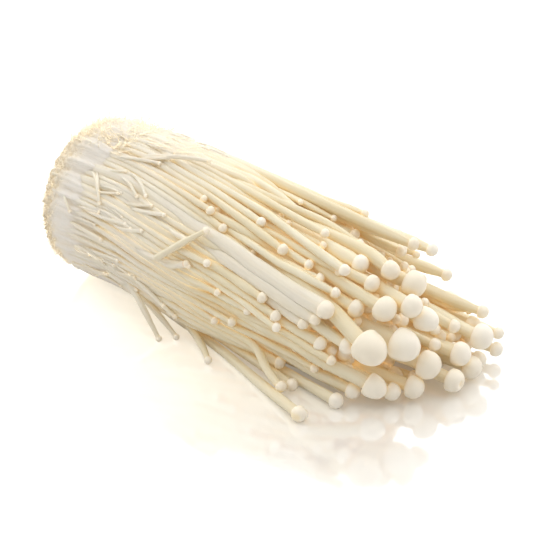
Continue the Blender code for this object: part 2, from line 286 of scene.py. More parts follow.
def waves(rng, x, size, longest):
    """A gentle random wave along x."""
    total = np.zeros_like(x)
    for octave in (1.0, 0.5):
        turn, shift = 2 * math.pi / (longest * octave * rng.uniform(0.8, 1.3)), rng.uniform(0, 2 * math.pi)
        total += octave * size * np.sin(turn * x + shift)
    return total


def resampled(line, step):
    """The line's points at an even step along it."""
    runs = np.append(0.0, np.cumsum(np.linalg.norm(np.diff(line, axis=0), axis=1)))
    count = max(int(round(runs[-1] / step)), 4) + 1
    at = np.linspace(0.0, runs[-1], count)
    return np.stack([np.interp(at, runs, line[:, k]) for k in range(3)], axis=1), at


def eased(line, rounds):
    """The line with its corners rubbed off, and its ends where they were."""
    for _ in range(rounds):
        line = np.vstack([line[:1], 0.25 * line[:-2] + 0.5 * line[1:-1] + 0.25 * line[2:], line[-1:]])
    return line


# ======================================================================== mushrooms

@dataclass
class Mushroom:
    """One stem with its cap. line runs from the root to the neck."""

    name: str
    line: np.ndarray
    thick: float  # how thick the stem is against the usual
    cap: float  # cap radius
    crown: float = 0.86  # height of the crown above the cap's middle, in cap radii
    dimple: float = 0.0
    flat: float = 1.0  # thickness of the stem across the bunch's skin against along it
    pale: float = 0.0  # how pale it stays: how little painted shade and glow it takes on in the gaps, and how little of the front's warmer colour
    axis: np.ndarray = None  # which way the cap points, if not straight on from the stem
    wide: float = 1.0  # thickness of the stem along the bunch's skin
    give: float = 1.0  # how far it gives way to its neighbours
    tip_give: float = 1.0  # the same for its cap
    fine: bool = True  # on the outside, where it is seen all along
    blunt: bool = False  # as thick at its end as its cap, or broken off
    start: float = 8.0  # x at which it comes out of the foot's flesh


def stem_radius(mushroom, x):
    """Stems thicken from the foot to the caps, and bigger caps have thicker stems."""
    reach = mushroom.line[-1, 0]
    share = np.clip((x - FOOT_LENGTH + 10.0) / (max(reach, FOOT_LENGTH + 20.0) - FOOT_LENGTH), 0.0, 1.0)
    front = STEM_FRONT_RADIUS + STEM_PER_CAP * mushroom.cap
    if mushroom.blunt:
        return np.full_like(share, STEM_ROOT_RADIUS * mushroom.thick)
    waist = smooth(reach - x, 0.0, 6.0)
    radius = (STEM_ROOT_RADIUS + (front - STEM_ROOT_RADIUS) * share) * mushroom.thick
    return np.minimum(radius, mushroom.cap * (0.64 + 0.28 * waist))


CROWN_LEVEL, WIDEST_LEVEL, NECK_LEVEL, ROOT_LEVEL = 1, 3, 5, 13  # rings of a CAD mushroom


def ring_levels(node):
    """The rings of a CAD mushroom from its crown to its root."""
    bm = bmesh.new()
    bm.from_mesh(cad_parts[node].data)
    bmesh.ops.remove_doubles(bm, verts=bm.verts, dist=1e-6)

    def spread(start):
        """Vertices by how many edges away from the start they are."""
        seen, levels = {start}, [[start]]
        while levels[-1]:
            near = {e.other_vert(v): None for v in levels[-1] for e in v.link_edges}
            levels.append([v for v in near if v not in seen])
            seen.update(levels[-1])
        return levels[:-1]

    crown = spread(min(bm.verts, key=lambda v: v.co.x))[-1][0]
    levels = [np.array([v.co for v in level]) / MM - ORIGIN for level in spread(crown)]
    bm.free()
    return levels


def cad_mushroom(node, thick=1.0, **more):
    """A mushroom read from its CAD node, with its root run back into the foot."""
    levels = ring_levels(node)
    middles = np.array([level.mean(axis=0) for level in levels[:ROOT_LEVEL + 1]])
    cap = float(np.linalg.norm(levels[WIDEST_LEVEL] - middles[WIDEST_LEVEL], axis=1).max())
    axis = unit(middles[CROWN_LEVEL] - middles[WIDEST_LEVEL])
    middle = middles[WIDEST_LEVEL] - axis * CAP_WIDEST * cap
    neck = middle - axis * NECK * cap
    stem = middles[NECK_LEVEL:][::-1]
    line = np.vstack([stem[stem[:, 0] < neck[0] - 1.5], neck])
    if node != "loose_stem":
        inside = np.repeat(line[:1], 3, axis=0)
        inside[:, 0] = (2.0, 10.0, 18.0)
        line = np.vstack([inside, line])
        lift = 1.0 + ROOT_LIFT * (1.0 - smooth(line[:, 0], FOOT_LENGTH, 62.0))
        height = half_height(line[:, 0])
        line[:, 1] *= lift
        line[:, 2] = height + (line[:, 2] - height) * lift
    line, _ = resampled(line, 2.0)
    give = 0.0 if node == "loose_stem" else 0.04 if node.startswith("splayed") else 0.35
    return Mushroom(node, eased(line, 3), thick, cap, axis=axis, give=give, tip_give=0.0, **more)


def grown(rng, name, root, tip, reach, width, wander=0.4, dive=0.0, **more):
    """A new mushroom: root and tip are (angle, share) of the bunch's section."""
    x = np.arange(2.0, reach, 2.0)
    share = smooth(x, -10.0, reach + 20.0)
    share = (share - share[0]) / (share[-1] - share[0])
    turn, out = (a + (b - a) * share for a, b in zip(root, tip))
    line = on_bunch(x, turn, out - dive * smooth(x, reach - 40.0, reach))
    for axis in (1, 2):
        line[:, axis] += waves(rng, x, wander, 50.0) * smooth(x, FOOT_LENGTH - 14.0, 60.0)
    return Mushroom(name, line, rng.uniform(0.82, 1.12), width / 2, **more)


def sprout(rng, start_x, start_angle, end_x, end_angle, bend, lift, width):
    """A stunted mushroom, blunt at its end, that leaves the foot's flesh and bends over its neighbours."""
    share = np.linspace(0.0, 1.0, 12)
    x = start_x + (end_x - start_x) * share
    turn = start_angle + (end_angle - start_angle) * share + bend * np.sin(math.pi * share)
    out = 0.93 + 0.07 * smooth(share, 0.0, 0.5) + lift / MEAN_HALF * smooth(share, 0.1, 0.9)
    thick = width / 2 / STEM_ROOT_RADIUS * rng.uniform(0.68, 0.8)
    line = on_bunch(x, turn, out)
    return Mushroom("sprout", line, thick, 0.42 * width, start=start_x, pale=0.6, blunt=True)


def room_taken(mushroom):
    """How much room a mushroom takes up at every station: its stem, or its cap where that is."""
    middle = mushroom.line[-1, 0] + NECK * mushroom.cap
    needed = stem_radius(mushroom, STATIONS)
    near_cap = np.abs(STATIONS - middle) < mushroom.cap + STATION_STEP / 2
    needed = np.where(near_cap, np.maximum(needed, 0.96 * mushroom.cap), needed)
    beyond = STATIONS > middle + mushroom.cap + STATION_STEP / 2
    before = STATIONS < mushroom.line[0, 0] - STATION_STEP
    return np.where(beyond | before, NOT_THERE, needed)


def path_of(mushroom):
    """(y, z) of the mushroom's line at every station."""
    return np.stack([np.interp(STATIONS, mushroom.line[:, 0], mushroom.line[:, k]) for k in (1, 2)], axis=-1)


def tucked(tips, radius, heads):
    """Which of the tips hide behind one of the front heads."""
    toward = np.array(view_direction(CAMERA_AZIMUTH, CAMERA_HEIGHT))
    hidden = np.zeros(len(tips), bool)
    for m in heads:
        apart = m.line[-1] + m.axis * NECK * m.cap - tips
        depth = apart @ toward
        aside = np.linalg.norm(apart - depth[:, None] * toward, axis=1)
        hidden |= (depth > m.cap) & (depth < TUCKED_DEPTH) & (aside < m.cap - TUCKED_COVER * radius)
    return hidden


def outer_start(rng, angle):
    """x at which an outer stem at an angle comes out of the flesh."""
    return rng.uniform(*OUTER_STARTS) + LATE_START * low_side(angle)


def placed_between(rng):
    """The mushrooms that have their own places between those that the frame holds."""
    made = []
    for x, y, z, width in HEADS_BETWEEN:
        across, up = section_of(np.array([x, y, z]))
        tip = math.degrees(math.atan2(up, across)) % 360.0, math.hypot(across, up)
        root = (root_angle(tip[0], x), min(tip[1], 0.96))
        reach = x - NECK * width / 2
        made.append(grown(rng, "between", root, tip, reach, width, wander=0.2, give=0.5, tip_give=0.02))
    for reach, angle, width in NEAR_SIDE_MUSHROOMS + TOP_SIDE_MUSHROOMS:
        root = (root_angle(angle, reach), 0.965)
        made.append(grown(rng, "near", root, (angle, 1.0), reach, width, wander=0.3, give=0.6, tip_give=0.05))
        made[-1].start = outer_start(rng, root[0])
    return made


def layer_mushroom(rng, layer, share, angle, heads):
    """A mushroom in a layer of the crowd, and the angle that its root stands at."""
    tip_angle, tip_share = angle + rng.normal(0.0, 1.0), share * rng.uniform(0.97, 1.02)
    angles, least, most, dives = zip(*OUTER_ENDS)
    at = (tip_angle - angles[0]) % 360.0 + angles[0]
    behind = rng.uniform(*(np.interp(at, angles, ends) for ends in (least, most)))
    dive = np.interp(at, angles, dives)
    if layer > 0:
        behind, dive = rng.uniform(*INNER_ENDS), INNER_DIVE * dive
    tip = on_bunch(USUAL_REACH, tip_angle, tip_share - dive)
    reach = front_of(tip[1], tip[2]) - behind
    slim = layer in (STUNTED, *FINE_LAYERS) and SLIM_ANGLES[0] < at < SLIM_ANGLES[1]
    width = rng.uniform(*(SLIM_CAPS if slim else FULL_CAPS))
    if layer == STUNTED:
        reach, dive, width = rng.uniform(*STUNTED_REACH), 0.0, rng.uniform(*STUNTED_CAPS)
    elif TUCKED_ANGLES[0] < at < TUCKED_ANGLES[1] or share < TUCKED_SHARE:
        width = rng.uniform(*(TOP_CAPS if layer == 0 else INNER_CAPS))
        hidden = tucked(on_bunch(TUCKED_REACHES, tip_angle, tip_share - dive), width / 2, heads)
        if hidden.any():
            near = TUCKED_REACHES[hidden] - reach
            reach += near[np.abs(near).argmin()]
        else:
            reach = front_of(tip[1], tip[2]) - rng.uniform(*SHORT_INNER_ENDS)
    root = (root_angle(tip_angle, reach) + rng.normal(0.0, 2.0), share)
    m = grown(rng, "crowd", root, (tip_angle, tip_share), reach, width, dive=dive)
    m.thick *= np.interp(at, TOP_ANGLES, TOP_THICKNESS)
    return m, root[0]


def crowd(rng, bunch):
    """The mushrooms between and behind those that the frame holds, fitted in one by one."""
    made = placed_between(rng)
    paths = [path_of(m) for m in bunch + made]
    taken = [room_taken(m) for m in bunch + made]
    heads = [m for m in bunch if m.name.startswith(("front", "short", "top"))]
    seen = STATIONS >= FIT_FROM
    for layer, share in [*enumerate(LAYERS), *((STUNTED, share) for share in STUNTED_LAYERS)]:
        angle = rng.uniform(0.0, 10.0)
        last = angle + 360.0
        while angle < last:
            angle += LAYER_STEP / share
            m, root_turn = layer_mushroom(rng, layer, share, angle, heads)
            path, room = path_of(m), room_taken(m)
            slack = np.where(room > 1.05 * stem_radius(m, STATIONS), CAP_SLACK, STEM_SLACK)
            gaps = np.linalg.norm(np.array(paths) - path, axis=2) - np.array(taken) - room + slack
            if gaps[:, seen].min() <= 0.0:
                continue
            inner_start = rng.uniform(*INNER_STARTS)
            m.start = outer_start(rng, root_turn) if layer < LONG_LAYERS else inner_start
            m.fine = layer in FINE_LAYERS
            m.crown = rng.uniform(*CROWNS)
            made.append(m)
            paths.append(path)
            taken.append(room)
    return made


def give_along(mushroom):
    """How far a mushroom gives way at every station."""
    from_tip = np.clip((mushroom.line[-1, 0] - STATION_STEP - STATIONS) / TIP_LENGTH, 0.0, 1.0)
    return mushroom.tip_give + (mushroom.give - mushroom.tip_give) * from_tip


def neighbours(paths):
    """The pairs of mushrooms that come near each other."""
    a, b = np.triu_indices(len(paths), 1)
    near = (np.abs(paths[a] - paths[b]).max(axis=2) < PAIR_REACH).any(axis=1)
    return a[near], b[near]


def settle(bunch):
    """Ease the stems apart until they only touch, and keep them in the bunch and above the table."""
    paths = np.array([path_of(m) for m in bunch])
    first = paths.copy()
    radii = np.array([room_taken(m) for m in bunch])
    give = np.array([give_along(m) for m in bunch])
    grown_in = np.array([m.name != "loose_stem" for m in bunch])[:, None]
    needed = np.where(grown_in, FOOT_ROOM + (1.0 - FOOT_ROOM) * smooth(STATIONS, *PARTED), 1.0) * radii
    low = np.maximum(radii, STEM_ROOT_RADIUS)
    outline = 1.0 - np.maximum(radii, 0.5) / MEAN_HALF + OUTLINE_SLACK
    free = (give > FREE_GIVE) & grown_in
    held = give / np.maximum(give.max(axis=1, keepdims=True), 0.01)
    height = half_height(STATIONS)
    for turn in range(SETTLE_ROUNDS):
        if turn % PAIR_ROUNDS == 0:
            a, b = neighbours(paths)
            both = np.maximum(give[a] + give[b], LEAST_GIVE)
            share_a, share_b = (give[a] / both)[..., None], (give[b] / both)[..., None]
        apart = paths[a] - paths[b]
        distance = np.linalg.norm(apart, axis=2) + 1e-9
        overlap = np.clip(needed[a] + needed[b] - distance, 0.0, None)
        push = apart * (overlap / distance)[..., None]
        moved = paths - first
        np.add.at(moved, a, PUSH * push * share_a)
        np.add.at(moved, b, -PUSH * push * share_b)
        if turn < EVEN_ROUNDS:
            ahead = np.concatenate([moved[:, 1:], moved[:, -1:]], axis=1)
            behind = np.concatenate([moved[:, :1], moved[:, :-1]], axis=1)
            even = 0.6 * moved + 0.2 * (ahead + behind)
            moved += (even - moved) * held[..., None]
        paths = first + moved
        u, v = paths[..., 0] / HALF_WIDTH, (paths[..., 1] - height) / height
        far = np.hypot(u, v) / sag(STATIONS, np.degrees(np.arctan2(v, u)))
        shrink = np.where(free & (far > outline), outline / np.maximum(far, 1e-6), 1.0)
        paths[..., 0] *= shrink
        paths[..., 1] = height + (paths[..., 1] - height) * shrink
        paths[..., 1] = np.where(free, np.maximum(paths[..., 1], low), paths[..., 1])
    for m, path, start in zip(bunch, paths, first):
        shift = path - start
        for k in (0, 1):
            m.line[:, k + 1] += np.interp(m.line[:, 0], STATIONS, shift[:, k])
        m.line = eased(m.line, 2)
    return bunch


# ======================================================================== skins

MAP_MARGIN = 0.04  # share of a tube's strip on the map that is left bare beside it


class Skin:
    """Rings of points gathered into one mesh, with the values that its materials read."""

    def __init__(self, name, strips):
        self.name, self.strips, self.used, self.count = name, strips, 0, 0
        self.points, self.quads, self.fans, self.slots = [], [], [], []
        self.quad_maps, self.fan_maps, self.fan_slots = [], [], []
        self.values = {"fibre": [], "rise": [], "tone": [], "gap_shade_and_glow": [], "cap_share": []}

    def add(self, rings, root, crown, slots, values):
        """A tube through rings (rows, sides, 3) whose ends are closed at two points."""
        rows, sides, _ = rings.shape
        row, side = np.mgrid[0:rows - 1, 0:sides]
        after = (side + 1) % sides
        first = self.count
        quads = np.stack([row * sides + side, row * sides + after,
                          (row + 1) * sides + after, (row + 1) * sides + side], axis=-1)
        self.quads.append(first + quads.reshape(-1, 4))
        self.slots.append(np.repeat(slots[1:], sides))
        inside = 1.0 - 2.0 * MAP_MARGIN
        low = (self.used + MAP_MARGIN + inside * side / sides) / self.strips
        high = (self.used + MAP_MARGIN + inside * (side + 1) / sides) / self.strips
        left, right = (row + 1) / (rows + 1), (row + 2) / (rows + 1)
        corners = np.stack([left, low, left, high, right, high, right, low], axis=-1)
        self.quad_maps.append(corners.reshape(-1, 2))
        side = np.arange(sides)
        after = (side + 1) % sides
        low, high = low[0], high[0]
        root_at, crown_at = first + rows * sides, first + rows * sides + 1
        last = first + (rows - 1) * sides
        self.fans.append(np.stack([np.full(sides, root_at), first + after, first + side], axis=-1))
        self.fans.append(np.stack([np.full(sides, crown_at), last + side, last + after], axis=-1))
        one, end = 1.0 / (rows + 1), rows / (rows + 1)
        self.fan_maps.append(np.stack([0 * low, (low + high) / 2, 0 * low + one, high,
                                       0 * low + one, low], axis=-1).reshape(-1, 2))
        self.fan_maps.append(np.stack([0 * low + 1, (low + high) / 2, 0 * low + end, low,
                                       0 * low + end, high], axis=-1).reshape(-1, 2))
        self.fan_slots += [np.full(sides, slots[0]), np.full(sides, slots[-1])]
        self.points += [rings.reshape(-1, 3), root[None], crown[None]]
        for key, value in values.items():
            value = np.broadcast_to(value, rings.shape[:2] + value.shape[2:])
            flat = value.reshape(rows * sides, -1)
            ends = np.stack([value[0].mean(axis=0), value[-1].mean(axis=0)]).reshape(2, -1)
            self.values[key].append(np.vstack([flat, ends]))
        self.count += rows * sides + 2
        self.used += 1

    def build(self, *materials):
        """The gathered mesh as one piece that rides on the bunch."""
        points = (np.vstack(self.points) + ORIGIN) * MM
        faces = np.vstack(self.quads).tolist() + np.vstack(self.fans).tolist()
        mesh = bpy.data.meshes.new(self.name)
        mesh.from_pydata(points.tolist(), [], faces)
        slots = np.concatenate(self.slots + self.fan_slots)
        mesh.polygons.foreach_set("material_index", slots.astype(np.int32))
        layer = mesh.uv_layers.new(name="OFBake")
        layer.uv.foreach_set("vector", np.vstack(self.quad_maps + self.fan_maps).astype(np.float32).ravel())
        for key, rows in self.values.items():
            rows = np.vstack(rows).astype(np.float32)
            kind, field = ("FLOAT_VECTOR", "vector") if rows.shape[1] == 3 else ("FLOAT", "value")
            mesh.attributes.new(key, kind, "POINT").data.foreach_set(field, rows.ravel())
        mesh.shade_smooth()
        for material in materials:
            mesh.materials.append(material)
        piece = bpy.data.objects.new(self.name, mesh)
        bpy.context.scene.collection.objects.link(piece)
        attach(piece, "root")
        return piece


CAP_RECESS = ((-0.47, 0.34), (-0.43, 0.50))  # the underside, from the stem out: along and out, in cap radii
LIP_MIDDLE = (-0.33, 0.79)  # the rolled margin, the same way
LIP_ROLL = 0.22
LIP_ROWS = 7
DOME_ROWS = 11
CAP_TILT = 0.13  # how far a cap leans off its stem
FIBRE_OFFSET = 53.0  # sets the streaks of one stem apart from those of the next


def cap_outline(crown, dimple):
    """(along, out) of the cap from inside its underside over the margin to the crown, in cap radii."""
    roll = np.radians(np.linspace(-160.0, 0.0, LIP_ROWS))
    back, out = LIP_MIDDLE
    lip = [(back + LIP_ROLL * 1.1 * math.sin(t), out + LIP_ROLL * math.cos(t)) for t in roll]
    rise = np.linspace(0.0, math.pi / 2, DOME_ROWS + 1)[:-1]
    dome = [(CAP_WIDEST + (crown - CAP_WIDEST) * math.sin(t), 1.01 * math.cos(t) ** 0.94) for t in rise]
    outline = np.array([*CAP_RECESS, *lip, *dome])
    outline[:, 0] -= dimple * np.exp(-(outline[:, 1] / 0.3) ** 2) * (outline[:, 0] > 0.3)
    return outline, crown - dimple


def stem_frames(line, across):
    """Direction, outward and sideways unit vectors at every point of a line, without twist."""
    along = unit(np.gradient(line, axis=0))
    out = np.empty_like(along)
    last = across
    for i, direction in enumerate(along):
        last = last - direction * np.dot(direction, last)
        last = last / max(np.linalg.norm(last), 1e-9)
        out[i] = last
    return along, out, np.cross(along, out)


def stem_rings(mushroom, line, run, frames, radius, turn, rng):
    """Rings of a stem that is a bit oval, and grooved with a slow twist."""
    _, out, side = frames
    oval, oval_turn = rng.uniform(0.0, 0.09), rng.uniform(0, math.pi)
    groove, groove_turn = rng.uniform(0.01, 0.04), rng.uniform(0, 2 * math.pi)
    twist = rng.normal(0.0, 0.01) * run[:, None]
    shape = 1.0 + oval * np.cos(2 * (turn - oval_turn)) + groove * np.cos(5 * turn + groove_turn + twist)
    wide = radius[:, None] * shape
    return (line[:, None] + out[:, None] * (wide * np.cos(turn) * mushroom.flat)[..., None]
            + side[:, None] * (wide * np.sin(turn) * mushroom.wide)[..., None])


def cap_rings(mushroom, neck, frame_there, neck_radius, turn, rng):
    """Rings of a cap that is a bit out of round, their middles, and the point of its crown."""
    along, out, side = frame_there
    outline, crown = cap_outline(mushroom.crown, mushroom.dimple)
    tilt = out * rng.normal(0.0, CAP_TILT) + side * rng.normal(0.0, CAP_TILT)
    axis = unit(along + tilt) if mushroom.axis is None else mushroom.axis
    cap_out = unit(out - axis * np.dot(axis, out))
    cap_side = np.cross(axis, cap_out)
    middle = neck + axis * NECK * mushroom.cap
    lobes = (1.0 + rng.uniform(0, 0.04) * np.cos(2 * turn + rng.uniform(0, 6.3))
             + rng.uniform(0, 0.02) * np.cos(3 * turn + rng.uniform(0, 6.3)))
    least = np.where(outline[:, :1] < 0.0, neck_radius * 0.98, 0.0)
    wide = np.maximum(outline[:, 1:] * lobes * mushroom.cap, least)
    rings = (middle + axis * (outline[:, :1] * mushroom.cap)[..., None]
             + cap_out * (wide * np.cos(turn))[..., None] + cap_side * (wide * np.sin(turn))[..., None])
    middles = 0.5 * (middle + axis * (outline[:, :1] * mushroom.cap) + middle)
    return rings, middles, middle + axis * crown * mushroom.cap


def add_mushroom(skin, mushroom, rng, sides, step, density):
    """The stem and the cap of one mushroom as one closed skin."""
    line, run = resampled(mushroom.line[mushroom.line[:, 0] >= mushroom.start - 1.0], step)
    line = eased(line, 2)
    outward = np.append(0.0, section_of(line[len(line) // 2]))
    frames = stem_frames(line, unit(outward + np.array([0.0, 1e-3, 0.0])))
    turn = np.arange(sides) * 2 * math.pi / sides
    radius = stem_radius(mushroom, line[:, 0]) * (1.0 + waves(rng, run, 0.035, 24.0))
    if mushroom.name != "loose_stem":
        radius *= 0.45 + 0.55 * smooth(run, 0.0, 7.0)
    stem = stem_rings(mushroom, line, run, frames, radius, turn, rng)
    there = [vectors[-1] for vectors in frames]
    cap, cap_middles, crown = cap_rings(mushroom, line[-1], there, radius[-1], turn, rng)
    rings = np.concatenate([stem, cap])
    rings[..., 2] = np.maximum(rings[..., 2], RESTING_HEIGHT)
    middles = np.concatenate([line, cap_middles])
    tone = rng.uniform()
    length = np.append(run, run[-1] + np.arange(1, len(cap) + 1) * 0.2 * mushroom.cap)
    fibre = np.empty(rings.shape)
    fibre[..., 0], fibre[..., 1] = np.cos(turn), np.sin(turn)
    fibre[..., 2] = length[:, None] + FIBRE_OFFSET * rng.uniform(0, 40)
    vivid = 1.0 - mushroom.pale
    values = {
        "fibre": fibre,
        "rise": vivid * smooth(rings[..., 0], 0.0, FRONT_X),
        "tone": np.full((len(rings), 1), tone),
        # mask for the painted shade and glow: strongest where the stems are packed
        "gap_shade_and_glow": vivid * density.at(rings + 1.3 * unit(rings - middles[:, None])),
        "cap_share": np.append(np.zeros(len(stem)), np.linspace(0.05, 1.0, len(cap)))[:, None],
    }
    slots = np.append(np.zeros(len(stem), int), np.ones(len(cap), int))
    root = line[0] - frames[0][0] * 0.3 * radius[0]
    skin.add(rings, root, crown, slots, values)


class Density:
    """How full the space round a point is, on a coarse grid through the bunch; this sets where the painted
    shade and the glow in the gaps go.
    """

    STEP = 0.9
    BLUR_ROUNDS = 3
    LOW, HIGH = np.array([-6.0, -36.0, -6.0]), np.array([140.0, 36.0, 54.0])
    CAP_VOLUME = 3.6  # in cubes of the cap's radius
    OPEN, PACKED = 0.12, 0.62  # share of the space that is filled

    def __init__(self, bunch):
        self.grid = np.zeros(np.ceil((self.HIGH - self.LOW) / self.STEP).astype(int))
        for m in bunch:
            line, _ = resampled(m.line, self.STEP)
            self.splat(line, math.pi * stem_radius(m, line[:, 0]) ** 2 * self.STEP)
            axis = unit(line[-1] - line[-3])
            ball = line[-1] + axis * (NECK * m.cap) + 0.6 * m.cap * BALL
            self.splat(ball, np.full(len(ball), self.CAP_VOLUME * m.cap ** 3 / len(ball)))
        for _ in range(self.BLUR_ROUNDS):
            for axis in range(3):
                ahead, behind = np.roll(self.grid, 1, axis), np.roll(self.grid, -1, axis)
                self.grid = (self.grid + ahead + behind) / 3.0
        self.grid /= self.STEP ** 3

    def splat(self, points, amounts):
        """Add amounts to the cells that points lie in."""
        cells = ((points - self.LOW) / self.STEP).astype(int)
        inside = np.clip(cells, 0, np.array(self.grid.shape) - 1)
        np.add.at(self.grid, tuple(inside[..., k] for k in range(3)), amounts)

    def at(self, points):
        """Smooth reading between cells: 0 in the open, 1 where the bunch is packed."""
        place = (points - self.LOW) / self.STEP - 0.5
        base = np.floor(place)
        part = place - base
        total = 0.0
        for corner in np.ndindex(2, 2, 2):
            weight = np.prod(np.where(corner, part, 1.0 - part), axis=-1)
            index = np.clip(base.astype(int) + corner, 0, np.array(self.grid.shape) - 1)
            total = total + weight * self.grid[index[..., 0], index[..., 1], index[..., 2]]
        return smooth(total, self.OPEN, self.PACKED)


BALL = unit(np.random.default_rng(1).normal(size=(24, 3)))  # directions spread over a ball


# ======================================================================== threads of fuzz


def add_thread(skin, points, thick):
    """A thin three-sided thread that tapers to its tip."""
    along, out, side = stem_frames(points, unit(points[0] - [points[0][0] + 1e-3, 0.0, FOOT_HALF_HEIGHT]))
    turn = np.arange(3) * 2 * math.pi / 3
    wide = thick * np.linspace(1.0, 0.25, len(points))
    rings = (points[:, None] + out[:, None] * (wide[:, None] * np.cos(turn))[..., None]
             + side[:, None] * (wide[:, None] * np.sin(turn))[..., None])
    values = {
        "fibre": rings.copy(),
        "rise": np.full(rings.shape[:2], 0.1),
        "tone": np.full((len(rings), 1), 0.3),
        "gap_shade_and_glow": np.full(rings.shape[:2], 0.1),
        "cap_share": np.linspace(0.0, 1.0, len(rings))[:, None],
    }
    root, end = points[0] - along[0] * 0.1, points[-1] + along[-1] * 0.1
    skin.add(rings, root, end, np.zeros(len(rings), int), values)


def curl(rng, start, direction, length, bend, count=6):
    """A short line that wanders off in a direction."""
    share = np.linspace(0.0, 1.0, count)[:, None]
    aside = unit(np.cross(direction, rng.normal(size=3)))
    droop = rng.normal(size=3) * 0.15 * length
    straight = start + direction * length * share
    return straight + aside * bend * length * share ** 2 + droop * share * (share - 1.0)


RIM_THREADS = 4200
TOP_THREADS = 640
WISPS = 16
RIM_THREAD_DEPTH = 2.4  # how far from the cut they stand, below and, with the next, on top
RIM_THREAD_EXTRA = 2.0
THREAD_LOWEST = 0.15
TOP_THREAD_ANGLES = (48.0, 118.0)
TOP_THREAD_REACH = 22.0


def on_foot(x, angle, share):
    """A point at a share of the foot's own section, which draws in towards the rim."""
    turn = math.radians(angle)
    return on_bunch(x, angle, share * rim_share(x, turn) * (1.0 + shoulder(x, turn)))


def outward_at(x, angle):
    """The way out of the bunch at an angle round it."""
    return unit(on_bunch(x, angle, 1.0) - on_bunch(x, angle, 0.9))


def build_threads(rng, material):
    """The ragged rim of the cut, the tufts on top of the foot and a few long wisps."""
    skin = Skin("foot_threads", RIM_THREADS + TOP_THREADS + WISPS)
    for _ in range(RIM_THREADS):
        angle = rng.uniform(0.0, 360.0)
        top = max(math.sin(math.radians(angle)), 0.0)
        x = abs(rng.normal(0.0, RIM_THREAD_DEPTH + RIM_THREAD_EXTRA * top))
        start = on_foot(x, angle, 0.97)
        start[0] -= 0.6 * rng.uniform()
        lean = outward_at(x, angle) * rng.uniform(0.0, 0.7) + [rng.normal(-0.3, 0.6), 0, 0]
        direction = unit(lean + rng.normal(0, 0.6, 3))
        line = curl(rng, start, direction, rng.uniform(0.6, 2.0), rng.normal(0.0, 1.1))
        line[:, 2] = np.maximum(line[:, 2], THREAD_LOWEST)
        add_thread(skin, line, rng.uniform(0.05, 0.11))
    for _ in range(TOP_THREADS):
        angle, x = rng.uniform(*TOP_THREAD_ANGLES), TOP_THREAD_REACH * rng.uniform() ** 1.5
        lean = outward_at(x, angle) * rng.uniform(0.05, 0.9) + [rng.normal(0.6, 0.7), 0, 0]
        direction = unit(lean + rng.normal(0, 0.4, 3))
        start = on_foot(x, angle, 0.965)
        line = curl(rng, start, direction, rng.uniform(2.0, 6.0), rng.normal(0.0, 0.4), 8)
        add_thread(skin, line, rng.uniform(0.08, 0.22))
    for _ in range(WISPS):
        angle, x = rng.uniform(76.0, 100.0), rng.uniform(12.0, 34.0)
        direction = unit(np.array([1.0, rng.normal(0.0, 0.12), rng.uniform(0.1, 0.35)]))
        start = on_bunch(x, angle, 0.955)
        line = curl(rng, start, direction, rng.uniform(9.0, 19.0), rng.uniform(-0.1, 0.2), 14)
        add_thread(skin, line, rng.uniform(0.16, 0.28))
    skin.build(material)


# ======================================================================== the foot

FOOT_SIDES = 360
FOOT_END = 50.0  # the flesh runs on to here between the stems, and sinks deeper on its way
CUT_ROWS = 44
MELT = 0.35  # how softly the stems melt into the flesh
FLESH_OVER_STEMS = 0.12  # a thin skin of flesh on the outer stems
CRUMBS = (  # size, waves round the foot and along it, shift
    (0.30, 41, 1.9, 0.3),
    (0.24, 67, -2.7, 1.7),
    (0.20, 29, 3.6, 4.0),
    (0.14, 103, 4.4, 2.2),
    (0.12, 89, -5.6, 5.1),
)
CUT_WAVES = ((1.3, 0.8), (-0.9, 1.6), (2.1, -1.9))  # across and up the cut face


def rim_share(x, turn):
    """How the foot draws in towards its cut rim, most of all on top."""
    top = np.clip(np.sin(turn), 0.0, 1.0)
    return 1.0 - (0.11 + 0.02 * top) * (1.0 - smooth(x, -3.5, 8.0 + 2.0 * top)) ** 1.3


def shoulder(x, turn):
    """How much further out the foot stands on its top near side."""
    round_top = np.exp(-((np.degrees(turn) - 112.0) / 40.0) ** 2)
    return 0.085 * round_top * np.exp(-((x - 8.0) / 9.0) ** 2)


def crumbs(turn, x):
    """Small soft lumps of the fuzzy rim, in millimetres."""
    total = 0.0
    for size, around, along, shift in CRUMBS:
        total = total + size * np.sin(around * turn + along * x + shift + 1.6 * np.sin(7 * turn + 0.8 * x))
    return total


def stem_middles(stems, x):
    """(y, z) of every stem at x."""
    return np.array([[np.interp(x, m.line[:, 0], m.line[:, k]) for k in (1, 2)] for m in stems])


